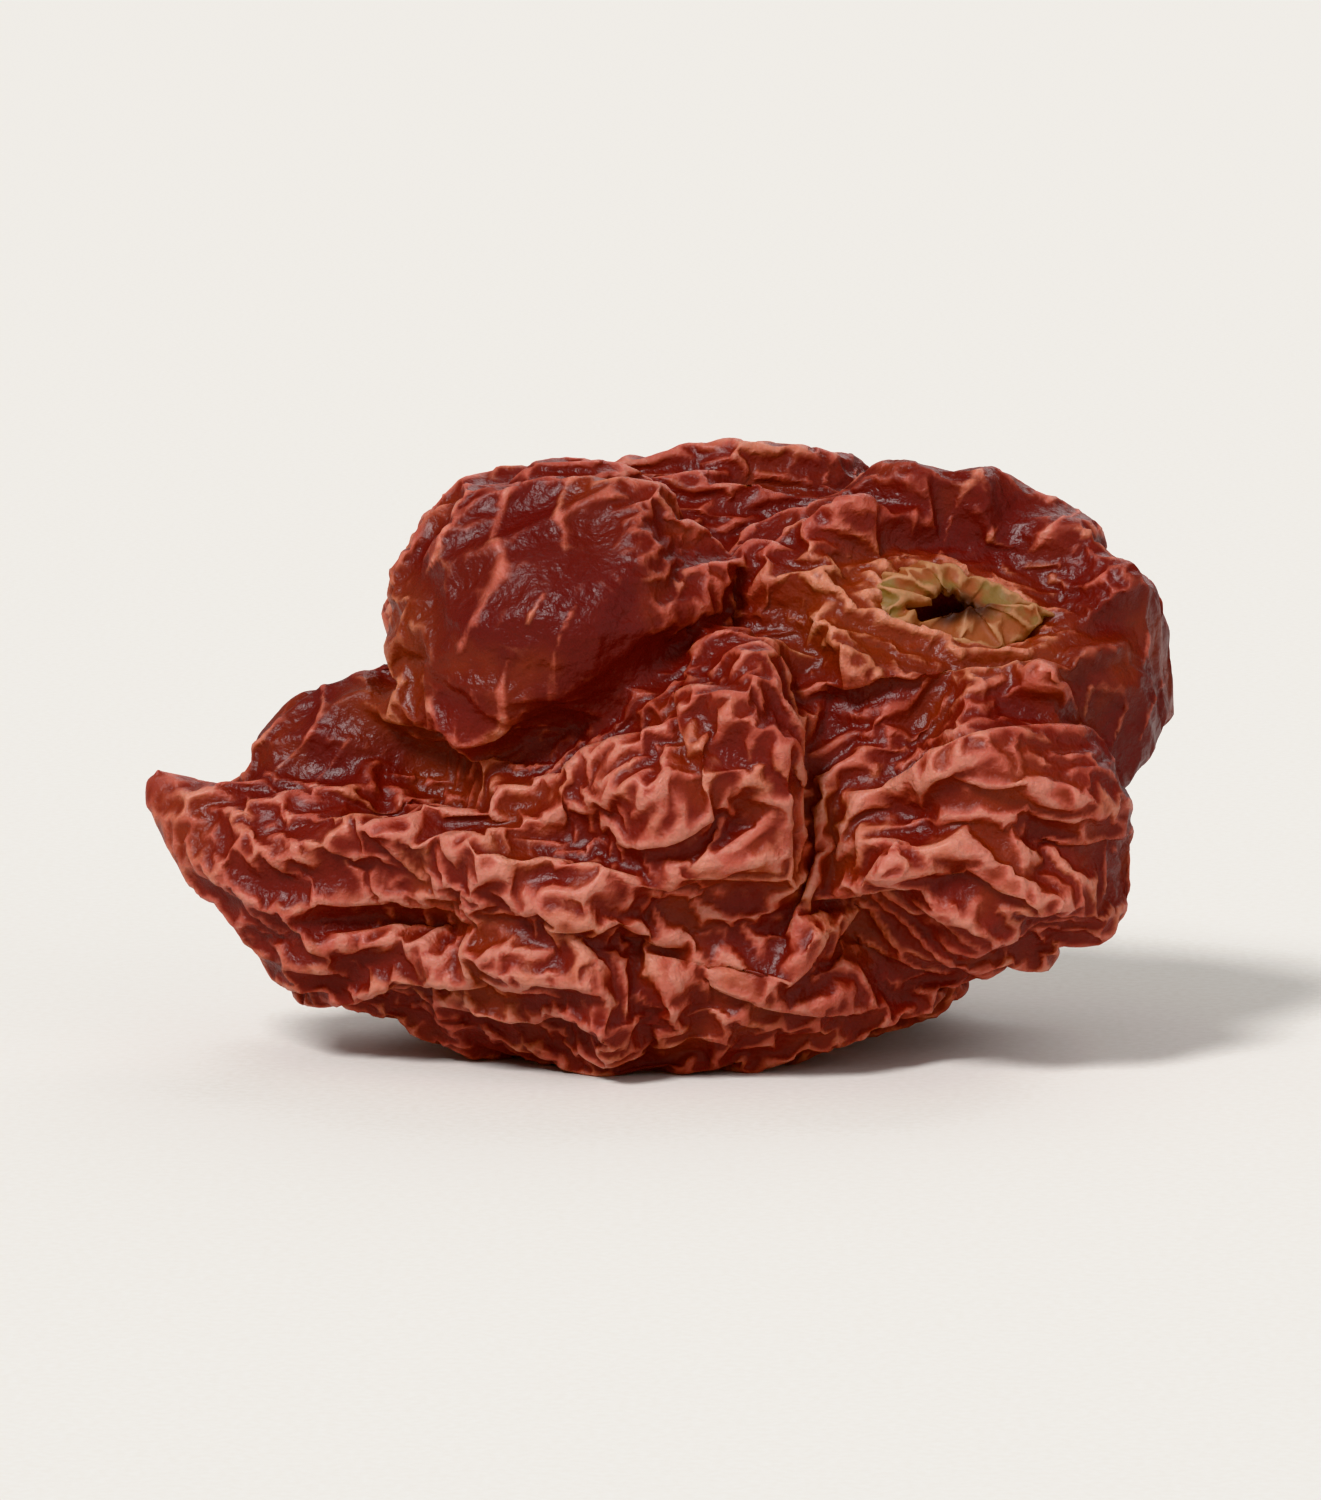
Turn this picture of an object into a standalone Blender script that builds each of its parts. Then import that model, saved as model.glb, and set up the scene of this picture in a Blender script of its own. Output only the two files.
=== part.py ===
"""A whole dried Carolina Reaper pepper with its stem pulled out, lying on its side.

The pod lies along X, with its pointed tail at -X and its blunt stem end at +X, and it rests on a small
flat spot on the plane Z = 0. The scar that the stem left is on the upper right of the front.
The sizes below are millimetres. The finished meshes are in metres, with +Z up.
"""

import math

import bmesh
import bpy
from mathutils import Matrix, Vector, noise

MILLIMETRE = 0.001
LENGTH = 30.0

# Fineness of the solid, in millimetres, and the share of its triangles that is kept at the end
VOXEL = 0.36
SMOOTHING_PASSES = 5
KEPT_TRIANGLES = 0.27

# The chambers of the pod: centre, half sizes, and lean in degrees about X, Y and Z
LOBES = {
    "front": ((0.8, -3.2, 5.5), (9.8, 4.9, 5.3), (-8, -4, 0)),
    "front_high": ((0.9, -4.8, 9.0), (4.5, 3.7, 3.6), (10, -30, 0)),
    "front_right": ((8.6, -4.0, 7.4), (4.6, 4.0, 4.3), (0, 8, 8)),
    "left": ((-7.2, 0.7, 7.0), (5.4, 4.4, 3.8), (0, 6, 4)),
    "shoulder": ((-3.2, -1.2, 12.4), (4.9, 5.1, 4.4), (0, -24, 8)),
    "crown": ((7.4, 0.2, 10.8), (7.2, 6.0, 5.9), (0, 10, -6)),
    "back_low": ((2.4, 3.7, 5.4), (9.6, 4.7, 5.2), (6, -7, 5)),
    "back_high": ((2.0, 3.4, 11.9), (7.6, 4.5, 5.3), (0, 3, -8)),
    "belly": ((1.2, 0.1, 4.4), (6.0, 4.6, 4.5), (0, -3, 0)),
}

# The tail, as balls along a curve: four points of its middle line, and its half thickness at each
TAIL_PATH = ((-4.5, -2.4, 5.3), (-8.6, -2.8, 5.2), (-12.2, -2.4, 5.8), (-14.8, -1.0, 8.2))
TAIL_HALF = (4.7, 3.6, 2.1, 0.55)
TAIL_BALLS = 26
TAIL_ROOT_X = -8.0
TAIL_TIP_X = -15.0

# Where the wall has fallen in: centre, reach and depth of each hollow
HOLLOWS = (
    ((-6.0, -6.8, 9.0), 2.6, 0.9),
    ((-2.4, 8.8, 8.0), 4.2, 1.5),
    ((8.2, 8.4, 8.2), 3.4, 1.3),
    ((14.2, 1.0, 6.6), 3.6, 1.2),
)

# Creases, as seen from the front (-Y) or the back (+Y): side, points as X and Z, half width, depth
CREASES = (
    (-1, ((3.9, 14.4), (4.3, 11.4), (4.4, 7.5), (6.6, 3.0)), 0.8, 1.2),
    (-1, ((-8.0, 8.9), (-5.4, 9.2), (-2.4, 10.6), (0.2, 12.4), (3.0, 13.6)), 0.75, 0.85),
    (-1, ((-9.5, 4.8), (-4.6, 5.0), (-0.4, 4.2), (3.4, 4.6)), 0.7, 0.7),
    (-1, ((-4.0, 7.4), (-0.6, 7.2), (2.0, 8.6)), 0.6, 0.5),
    (-1, ((5.4, 8.0), (8.4, 8.6), (12.4, 7.0)), 0.7, 0.7),
    (-1, ((6.4, 5.4), (9.0, 5.8), (11.4, 4.8)), 0.6, 0.5),
    (-1, ((5.0, 11.4), (8.6, 10.8), (12.8, 10.6)), 0.7, 0.6),
    (1, ((-9.0, 6.4), (-3.2, 8.2), (2.0, 7.4), (8.0, 8.6)), 0.9, 0.7),
    (1, ((1.8, 15.0), (2.6, 11.0), (2.0, 7.6)), 0.8, 0.8),
    (1, ((4.0, 7.6), (6.4, 4.4), (10.4, 3.6)), 0.8, 0.8),
)

# Folds of the dry skin, coarse and medium: distance between crests, height, and how long a crest
# runs along the pod compared with across it
FOLDS = (
    (5.6, 1.15, 1.4),
    (2.6, 0.75, 1.8),
)
FOLD_WANDER = 0.9
FOLD_SEED = 4
FOLD_SHARPNESS = 2.2
FOLD_ROUNDING = 0.05
FOLD_MEAN = 0.42
CALM_UNDERSIDE = 1.8
FLAT_SPOT_DEPTH = 0.45

# Chambers whose wall stays taut: centre, reach, and the share of the folds that is left there
TAUT_PLACES = (
    ((-4.0, -5.0, 13.2), 5.0, 0.35),
    ((13.6, -2.0, 9.6), 4.6, 0.45),
    ((1.0, 8.0, 13.0), 3.6, 0.5),
)

# The scar of the pulled stem: the way it faces, its half sizes, and the bowl that it lies in
SCAR_FACING = (0.22, -0.64, 0.73)
SCAR_CENTRE = (7.4, -0.2, 10.6)
SCAR_HALF = (2.8, 1.6)
BOWL_MARGIN = 1.5
BOWL_DEPTH = 1.7
PUCKERS = 11
PUCKER_HEIGHT = 0.3

# The ring of dry calyx that is left in the bowl, round the torn slot
RING_THICKNESS = 0.62
RING_GAP = 0.4
RING_WOBBLE = 0.09
TEAR_HALF = (1.45, 0.42)
TEAR_WOBBLE = 0.28
RING_SIDES = 44


def clear_scene():
    for obj in list(bpy.data.objects):
        bpy.data.objects.remove(obj)


def make_material(name, colour, roughness):
    material = bpy.data.materials.new(name)
    material.use_nodes = True
    shader = material.node_tree.nodes["Principled BSDF"]
    shader.inputs["Base Color"].default_value = (*colour, 1)
    shader.inputs["Roughness"].default_value = roughness
    shader.inputs["Metallic"].default_value = 0
    return material


def add_ball(bm, centre, half_sizes, lean=(0, 0, 0)):
    turn = Matrix.Identity(4)
    for degrees, axis in zip(lean, "XYZ"):
        turn = turn @ Matrix.Rotation(math.radians(degrees), 4, axis)
    place = Matrix.Translation(centre) @ turn @ Matrix.Diagonal((*half_sizes, 1))
    bmesh.ops.create_icosphere(bm, subdivisions=4, radius=1, matrix=place)


def tail_point(share):
    """A point of the tail's middle line, on the Bezier curve through its four control points."""
    a, b, c, d = (Vector(point) for point in TAIL_PATH)
    rest = 1 - share
    return rest**3 * a + 3 * rest**2 * share * b + 3 * rest * share**2 * c + share**3 * d


def tail_half(share):
    spans = len(TAIL_HALF) - 1
    index = min(int(share * spans), spans - 1)
    t = share * spans - index
    return TAIL_HALF[index] * (1 - t) + TAIL_HALF[index + 1] * t


def rough_body():
    """The chambers and the tail, as overlapping balls."""
    bm = bmesh.new()
    for centre, half_sizes, lean in LOBES.values():
        add_ball(bm, centre, half_sizes, lean)
    for step in range(TAIL_BALLS):
        share = step / (TAIL_BALLS - 1)
        half = tail_half(share)
        add_ball(bm, tail_point(share), (half, half * 0.85, half))
    mesh = bpy.data.meshes.new("body")
    bm.to_mesh(mesh)
    bm.free()
    return mesh


def applied(mesh, *modifiers):
    """The mesh after modifiers, each given as its type and its settings."""
    obj = bpy.data.objects.new("work", mesh)
    bpy.context.scene.collection.objects.link(obj)
    for kind, settings in modifiers:
        modifier = obj.modifiers.new(kind.title(), kind)
        for name, value in settings.items():
            setattr(modifier, name, value)
    graph = bpy.context.evaluated_depsgraph_get()
    result = bpy.data.meshes.new_from_object(obj.evaluated_get(graph))
    bpy.data.objects.remove(obj)
    return result


def ease(value, low, high):
    """0 below low, 1 above high, and a smooth step between."""
    t = min(1.0, max(0.0, (value - low) / (high - low)))
    return t * t * (3 - 2 * t)


def crest(place):
    """About 1 on narrow winding crests, falling to 0 in the broad hollows between them."""
    return max(0.0, 1 - FOLD_SHARPNESS * math.hypot(noise.noise(place), FOLD_ROUNDING))


def fold_height(point):
    height = 0.0
    for number, (spacing, tall, run) in enumerate(FOLDS):
        place = Vector((point.x / run, point.y, point.z)) / spacing + Vector((3.1, 7.7, 1.3)) * number
        wander = noise.noise_vector(place * 0.9 + Vector((7, 3, 5))) * FOLD_WANDER
        height += tall * (crest(place + wander) - FOLD_MEAN)
    underside = ease(point.z, 0.2, CALM_UNDERSIDE)
    tail = ease(point.x, TAIL_TIP_X, TAIL_ROOT_X)
    for centre, reach, left in TAUT_PLACES:
        height *= left + (1 - left) * ease((point - Vector(centre)).length, 0.5 * reach, reach)
    return height * underside * (0.3 + 0.7 * tail)


def hollow_depth(point):
    depth = 0.0
    for centre, reach, deep in HOLLOWS:
        share = (point - Vector(centre)).length / reach
        if share < 1:
            depth += deep * (1 - share * share) ** 2
    return depth


def crease_depth(point, normal):
    depth = 0.0
    seen = Vector((point.x, point.z))
    for side, path, half_width, deep in CREASES:
        stretches = zip(path, path[1:])
        away = min(distance_to_stretch(seen, Vector(start), Vector(end)) for start, end in stretches)
        facing = ease(side * normal.y, 0.0, 0.45)
        depth += deep * facing * math.exp(-((away / half_width) ** 2))
    return depth


def distance_to_stretch(point, start, end):
    run = end - start
    share = min(1.0, max(0.0, (point - start).dot(run) / run.length_squared))
    return (point - start - run * share).length


def wrinkle(mesh):
    """Moves every vertex along its normal, out on the folds and in at the hollows and creases."""
    moves = []
    for vertex in mesh.vertices:
        point, normal = vertex.co.copy(), vertex.normal.copy()
        height = fold_height(point) - hollow_depth(point) - crease_depth(point, normal)
        moves.append(normal * height)
    for vertex, move in zip(mesh.vertices, moves):
        vertex.co += move


def scar_place(mesh):
    """The scar's own frame: X along the tear, Z out of the pod, and the origin on the skin."""
    out = Vector(SCAR_FACING).normalized()
    along = Vector((0, 0, 1)).cross(out).normalized()
    up = out.cross(along)
    seen = [(v.co - Vector(SCAR_CENTRE)) for v in mesh.vertices]
    near = [offset.dot(out) for offset in seen if (offset - out * offset.dot(out)).length < SCAR_HALF[1]]
    centre = Vector(SCAR_CENTRE) + out * (sum(h for h in near if h > 0) / sum(1 for h in near if h > 0))
    return Matrix.Translation(centre) @ Matrix((along, up, out)).transposed().to_4x4()


def press_bowl(mesh, place):
    """Draws the skin in round the scar to a bowl with a flat floor, and puckers it outside."""
    back = place.inverted()
    for vertex in mesh.vertices:
        local = back @ vertex.co
        share = math.hypot(local.x / (SCAR_HALF[0] + BOWL_MARGIN), local.y / (SCAR_HALF[1] + BOWL_MARGIN))
        if local.z < -4 or share > 2:
            continue
        turn = math.atan2(local.y, local.x)
        floor = -BOWL_DEPTH
        inside = 1 - ease(share, 0.72, 1.25)
        pucker = PUCKER_HEIGHT * math.cos(PUCKERS * turn) * ease(share, 0.75, 1.1) * (1 - ease(share, 1.2, 2))
        local.z += (floor - local.z) * inside + pucker
        vertex.co = place @ local


def ring_outline(half, wobble, phase):
    points = []
    for step in range(RING_SIDES):
        turn = 2 * math.pi * step / RING_SIDES
        ragged = math.cos(3 * turn + phase) + 0.8 * math.cos(7 * turn + 2 * phase)
        swell = 1 + wobble * ragged
        points.append((half[0] * swell * math.cos(turn), half[1] * swell * math.sin(turn)))
    return points


def calyx_ring(place):
    """The torn ring of dry calyx: outlines joined round, from the tear out to the rim and back."""
    low = RING_GAP - BOWL_DEPTH
    high = low + RING_THICKNESS
    crown = tuple((inner + outer) / 2 for inner, outer in zip(TEAR_HALF, SCAR_HALF))
    tear = ring_outline(TEAR_HALF, TEAR_WOBBLE, 1.0)
    rim = ring_outline(SCAR_HALF, RING_WOBBLE, 0.4)
    loops = (
        (tear, low),
        (tear, high - 0.2),
        (ring_outline(crown, RING_WOBBLE, 0.7), high),
        (rim, high - 0.3),
        (rim, low),
    )
    bm = bmesh.new()
    rings = [[bm.verts.new(place @ Vector((x, y, z))) for x, y in outline] for outline, z in loops]
    for index, ring in enumerate(rings):
        following = rings[(index + 1) % len(rings)]
        for side in range(RING_SIDES):
            after = (side + 1) % RING_SIDES
            bm.faces.new((ring[side], following[side], following[after], ring[after]))
    bmesh.ops.recalc_face_normals(bm, faces=bm.faces)
    mesh = bpy.data.meshes.new("calyx_ring")
    bm.to_mesh(mesh)
    bm.free()
    return mesh


def cut_flat_spot(mesh):
    """Cuts the underside to one small flat spot, and returns its height."""
    cut = min(vertex.co.z for vertex in mesh.vertices) + FLAT_SPOT_DEPTH
    bm = bmesh.new()
    bm.from_mesh(mesh)
    everything = list(bm.verts) + list(bm.edges) + list(bm.faces)
    sliced = bmesh.ops.bisect_plane(
        bm, geom=everything, plane_co=(0, 0, cut), plane_no=(0, 0, 1), clear_inner=True
    )
    rim = [part for part in sliced["geom_cut"] if isinstance(part, bmesh.types.BMEdge)]
    bmesh.ops.triangle_fill(bm, edges=rim, use_beauty=True)
    bmesh.ops.recalc_face_normals(bm, faces=bm.faces)
    bm.to_mesh(mesh)
    bm.free()
    return cut


def extent(mesh, axis):
    places = [vertex.co[axis] for vertex in mesh.vertices]
    return min(places), max(places)


def add_node(name, mesh, material):
    obj = bpy.data.objects.new(name, mesh)
    bpy.context.scene.collection.objects.link(obj)
    mesh.materials.clear()
    mesh.materials.append(material)
    mesh.shade_smooth()
    return obj


def main():
    clear_scene()
    noise.seed_set(FOLD_SEED)
    skin = applied(
        rough_body(),
        ("REMESH", {"mode": "VOXEL", "voxel_size": VOXEL}),
        ("SMOOTH", {"factor": 0.5, "iterations": SMOOTHING_PASSES}),
    )
    wrinkle(skin)
    place = scar_place(skin)
    press_bowl(skin, place)
    skin = applied(
        skin,
        ("SMOOTH", {"factor": 0.35, "iterations": 1}),
        ("DECIMATE", {"ratio": KEPT_TRIANGLES, "use_collapse_triangulate": True}),
    )
    ring = calyx_ring(place)
    cut = cut_flat_spot(skin)
    along, across = extent(skin, 0), extent(skin, 1)
    scale = MILLIMETRE * LENGTH / (along[1] - along[0])
    middle = (sum(along) / 2, sum(across) / 2)
    home = Matrix.Scale(scale, 4) @ Matrix.Translation((-middle[0], -middle[1], -cut))
    for mesh in (skin, ring):
        mesh.transform(home)
    add_node("pod", skin, make_material("dried_pepper_skin", (0.16, 0.020, 0.012), 0.38))
    add_node("calyx_ring", ring, make_material("dry_calyx", (0.38, 0.23, 0.07), 0.7))


main()
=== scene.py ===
"""Looks of a whole dried superhot pepper with its stem pulled out, lying on a pale floor.

Run it with blender --background --python scene.py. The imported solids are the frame: the pod's skin
starts on the pod's solid, and is then grown in place until it buckles, which is how a drying pod gets
its wrinkles. Lengths of the frame, of the stage and those written with MM are in metres. Places on the
pod, and all that is worked out from a mesh's points, are in millimetres.
"""

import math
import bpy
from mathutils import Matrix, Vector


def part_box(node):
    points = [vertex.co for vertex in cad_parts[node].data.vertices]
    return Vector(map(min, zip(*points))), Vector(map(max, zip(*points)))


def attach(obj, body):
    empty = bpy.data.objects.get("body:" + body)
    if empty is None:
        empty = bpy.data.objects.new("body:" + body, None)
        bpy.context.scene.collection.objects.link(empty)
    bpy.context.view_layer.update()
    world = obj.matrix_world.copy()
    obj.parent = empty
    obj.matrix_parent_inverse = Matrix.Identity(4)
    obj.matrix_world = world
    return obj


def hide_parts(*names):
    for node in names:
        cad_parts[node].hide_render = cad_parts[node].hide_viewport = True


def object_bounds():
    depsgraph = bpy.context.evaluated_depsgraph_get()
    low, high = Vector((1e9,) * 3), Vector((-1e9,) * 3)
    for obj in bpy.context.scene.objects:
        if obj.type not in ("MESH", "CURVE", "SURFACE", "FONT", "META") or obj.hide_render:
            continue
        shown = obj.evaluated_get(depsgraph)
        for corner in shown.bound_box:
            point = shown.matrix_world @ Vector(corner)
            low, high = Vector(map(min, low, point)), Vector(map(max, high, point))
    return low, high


bl_info = {
    "name": "Dried pepper pod",
    "version": (1, 0, 0),
    "blender": (4, 5, 0),
    "location": "View3D > Sidebar > Dried pepper",
    "description": "Dresses a dried pepper pod's solids with wrinkled skin, a torn calyx and a stage",
    "category": "Object",
}

import bpy
import numpy as np
from bpy.props import FloatProperty, FloatVectorProperty, PointerProperty
from mathutils import Vector, noise

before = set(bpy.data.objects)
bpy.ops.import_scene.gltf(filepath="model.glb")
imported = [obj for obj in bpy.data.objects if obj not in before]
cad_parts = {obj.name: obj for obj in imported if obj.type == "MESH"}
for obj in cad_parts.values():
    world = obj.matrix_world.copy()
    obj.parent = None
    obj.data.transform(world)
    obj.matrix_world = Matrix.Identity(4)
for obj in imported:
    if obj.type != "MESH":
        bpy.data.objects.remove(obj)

MM = 0.001
ROOT = "root"

LOW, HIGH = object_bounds()
POD_LENGTH = HIGH.x - LOW.x


def linear(code):
    """The linear colour of an sRGB hex code, with alpha 1."""
    channels = [int(code[start : start + 2], 16) / 255 for start in (1, 3, 5)]
    return tuple(c / 12.92 if c <= 0.04045 else ((c + 0.055) / 1.055) ** 2.4 for c in channels) + (1,)


def in_mm(length):
    """A length setting in millimetres, rounded because Blender stores it in single precision."""
    return round(length / MM, 4)


# Meshes

# Each pass of a blur moves a value by this share of the way to its neighbours' mean.
BLUR_SHARE = 0.6
# A place is felt in full within this share of its reach.
FULL_REACH = 0.45
# The percentiles that count as 0 and 1, for the sharp edges of folds and for broader forms.
SHARP_RANGE = (8, 97)
BROAD_RANGE = (5, 95)


def points_of(mesh):
    """The places of a mesh's vertices, as three rows of numbers."""
    flat = np.empty(len(mesh.vertices) * 3, np.float32)
    mesh.vertices.foreach_get("co", flat)
    return flat.reshape(-1, 3).T.copy() / np.float32(MM)


def normals_of(mesh):
    flat = np.empty(len(mesh.vertices) * 3, np.float32)
    mesh.vertex_normals.foreach_get("vector", flat)
    return flat.reshape(-1, 3).T.copy()


def move_points(mesh, points):
    mesh.vertices.foreach_set("co", (points.T * MM).astype(np.float32).ravel())
    mesh.update()


def with_modifiers(mesh, *modifiers):
    """A new mesh with modifiers applied, each given as its type and its settings."""
    work = bpy.data.objects.new("work", mesh)
    bpy.context.scene.collection.objects.link(work)
    for kind, settings in modifiers:
        modifier = work.modifiers.new(kind.title(), kind)
        for name, value in settings.items():
            setattr(modifier, name, value)
    graph = bpy.context.evaluated_depsgraph_get()
    result = bpy.data.meshes.new_from_object(work.evaluated_get(graph))
    bpy.data.objects.remove(work)
    return result


def remeshed(mesh, side):
    """The mesh as even quads of one size, given in metres, without the steps that voxels leave."""
    return with_modifiers(
        mesh,
        ("REMESH", {"mode": "VOXEL", "voxel_size": side}),
        ("SMOOTH", {"factor": 0.5, "iterations": 3}),
    )


def ease(values, low, high):
    """0 below low, 1 above high, and a smooth step between."""
    share = np.clip((values - low) / (high - low), 0, 1)
    return share * share * (3 - 2 * share)


def nearness(points, centre, reach):
    """1 at a centre, falling smoothly to 0 at a reach along X, Y and Z."""
    offset = (points - np.array(centre)[:, None]) / np.array(reach)[:, None]
    return 1 - ease(np.sqrt((offset**2).sum(0)), FULL_REACH, 1)


def noise_at(points, spacing):
    """Noise from about -1 to 1 at every point, with its features one spacing apart."""
    places = (points / spacing).T.tolist()
    return np.array([noise.noise(place) for place in places], np.float32)


def levelled(values, low, high):
    """Values spread so that their low and high percentiles become 0 and 1."""
    bottom, top = np.percentile(values, (low, high))
    return np.clip((values - bottom) / (top - bottom), 0, 1)


def set_attribute(mesh, name, values):
    layer = mesh.attributes.new(name, "FLOAT", "POINT")
    layer.data.foreach_set("value", np.ascontiguousarray(values, np.float32))


class Web:
    """The neighbours of every vertex of a mesh, along the sides and the diagonals of its faces."""

    def __init__(self, mesh):
        corners = np.empty(len(mesh.loops), np.int32)
        starts = np.empty(len(mesh.polygons), np.int32)
        totals = np.empty(len(mesh.polygons), np.int32)
        mesh.loops.foreach_get("vertex_index", corners)
        mesh.polygons.foreach_get("loop_start", starts)
        mesh.polygons.foreach_get("loop_total", totals)
        pairs = []
        for sides in np.unique(totals):
            face = [corners[starts[totals == sides] + side] for side in range(sides)]
            for one in range(sides):
                pairs += [np.stack((face[one], face[other])) for other in range(one + 1, sides)]
        pairs = np.unique(np.sort(np.concatenate(pairs, 1), 0), axis=1)
        both = np.concatenate((pairs, pairs[::-1]), 1)
        both = both[:, np.argsort(both[0], kind="stable")]
        self.source, self.target = both
        self.count = np.bincount(self.source).astype(np.float32)
        self.first = np.concatenate(([0], np.cumsum(self.count)[:-1])).astype(np.int64)

    def total(self, values):
        """The sum over each vertex's neighbours of values that are given for each pair."""
        return np.add.reduceat(values, self.first, axis=-1)

    def bend(self, values):
        """How far the mean of each vertex's neighbours is from the vertex itself."""
        return self.total(values[..., self.target]) / self.count - values

    def blurred(self, values, passes):
        for _ in range(passes):
            values = values + BLUR_SHARE * self.bend(values)
        return values

    def sharpness(self, points, normal):
        """How sharply the surface is folded outward at each vertex, from 0 to 1."""
        outward = -(self.bend(points) * normal).sum(0)
        return levelled(self.blurred(outward, 1), *SHARP_RANGE)

    def swelling(self, points, normal, passes):
        """How far each vertex stands out of a blur of the surface, from 0 to 1."""
        return levelled(((points - self.blurred(points, passes)) * normal).sum(0), *BROAD_RANGE)


# Growing the skin

# The stiffness of the net's springs and of its ties, where its stiffness against bending is 1.
STRETCH = 5.0
OUTWARD_TIE = 0.5
INWARD_TIE = 2.0
# Folds have the spacing wanted where the root of the tie is this much times the square of their turn
# per face.
TIE_FOR_SPACING = 0.375
STEP_TIME = 0.22
KEPT_SPEED = 0.93
# The skin starts this rough, as a share of a face's side, so that it can buckle.
START_ROUGHNESS = 0.02
START_SEED = 5
# Points that stick out of their neighbours by more than the first share of a face's side are eased
# back, and in full from the second.
EASED_FROM = 0.3
EASED_IN_FULL = 0.55
EASED_SHARE = 0.5
EASED_PASSES = 3


def grow_skin(mesh, growth, way, along, spacing, steps, grip):
    """Lets the skin outgrow what it lies on, until it buckles into folds.

    It grows by the share that growth gives at each vertex, but along the unit vectors of way only by
    the part along of that, so the folds run that way. The skin is a net of springs that resists
    bending and is tied to where it started. The ties are as stiff as gives folds with the spacing
    wanted, and they hold harder inward than outward. Grip is how much they keep the skin from
    sliding: with little of it, long sharp folds form. At the end, points that stick out of their
    neighbours are eased back.
    """
    web = Web(mesh)
    home, normal = points_of(mesh), normals_of(mesh)
    span = home[:, web.target] - home[:, web.source]
    length = np.sqrt((span**2).sum(0))
    lined_up = ((span / length) * way[:, web.source]).sum(0) ** 2
    grown = (growth[web.source] + growth[web.target]) / 2
    rest = length * (1 + grown * (1 - (1 - along) * lined_up))
    side = float(np.median(length))
    tie = (TIE_FOR_SPACING * (2 * math.pi * side / spacing) ** 2) ** 2
    curve = web.bend(home)
    start = np.random.default_rng(START_SEED).normal(0, START_ROUGHNESS * side, home.shape[1])
    place = home + normal * start.astype(np.float32)
    speed = np.zeros_like(place)
    for _ in range(steps):
        span = place[:, web.target] - place[:, web.source]
        length = np.sqrt((span**2).sum(0))
        force = web.total(span * (STRETCH * (1 - rest / length)))
        force -= web.bend(web.bend(place) - curve)
        moved = place - home
        out = (moved * normal).sum(0)
        held = tie * np.where(out > 0, OUTWARD_TIE, INWARD_TIE) * out * normal
        force -= held + grip * (moved - out * normal)
        speed = KEPT_SPEED * speed + STEP_TIME * force
        place = place + STEP_TIME * speed
        place[2] = np.maximum(place[2], 0)
    for _ in range(EASED_PASSES):
        bend = web.bend(place)
        sharp = np.sqrt((bend**2).sum(0)) / side
        place = place + EASED_SHARE * bend * ease(sharp, EASED_FROM, EASED_IN_FULL)
    move_points(mesh, place)


# Materials

NOISE_NODE = "ShaderNodeTexNoise"
RANGE_NODE = "ShaderNodeMapRange"
MATH_NODE = "ShaderNodeMath"
MIX_NODE = "ShaderNodeMix"
MIX_COLOURS = {"data_type": "RGBA"}
SMOOTH = {"interpolation_type": "SMOOTHSTEP"}
ADD = {"operation": "ADD"}
MULTIPLY = {"operation": "MULTIPLY"}
MULTIPLY_ADD = {"operation": "MULTIPLY_ADD"}

# Sizes of the patterns in the pod's skin: blotches of rust in the flesh, the mottle of the painted
# highlight on the folds, crumples between the folds, and flecks of wax.
BLOTCH = 3.2 * MM
MOTTLE = 1.7 * MM
CRUMPLE = 1.1 * MM
FLECK = 0.7 * MM
# Real crepe lines are about 0.1 mm apart, too fine to show, so they are drawn three times as coarse.
CREPE = 0.3 * MM
SKIN_RELIEF = 0.11 * MM

# Sizes of the patterns in the calyx: patches where it browned, and its bundles of fibres.
BROWN_PATCH = 1.5 * MM
FIBRE = 0.22 * MM
FIBRE_RELIEF = 0.05 * MM

# The tooth of real paper is about 0.05 mm, too fine to show, so it is drawn five times as coarse.
PAPER_TOOTH = 0.25 * MM


def add_node(tree, kind, settings=None, links=None):
    """Adds a node with its settings. Links fill its inputs, by name or number, from nodes or values."""
    node = tree.nodes.new(kind)
    for name, value in (settings or {}).items():
        setattr(node, name, value)
    for name, value in (links or {}).items():
        socket = node.inputs[name]
        if isinstance(name, str):
            socket = next(s for s in node.inputs if s.enabled and s.name == name)
        if isinstance(value, bpy.types.Node):
            value = next(s for s in value.outputs if s.enabled)
        if isinstance(value, bpy.types.NodeSocket):
            tree.links.new(value, socket)
        else:
            socket.default_value = value
    return node


def new_material(name):
    material = bpy.data.materials.new(name)
    material.use_nodes = True
    material.node_tree.nodes.clear()
    return material, material.node_tree


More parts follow.
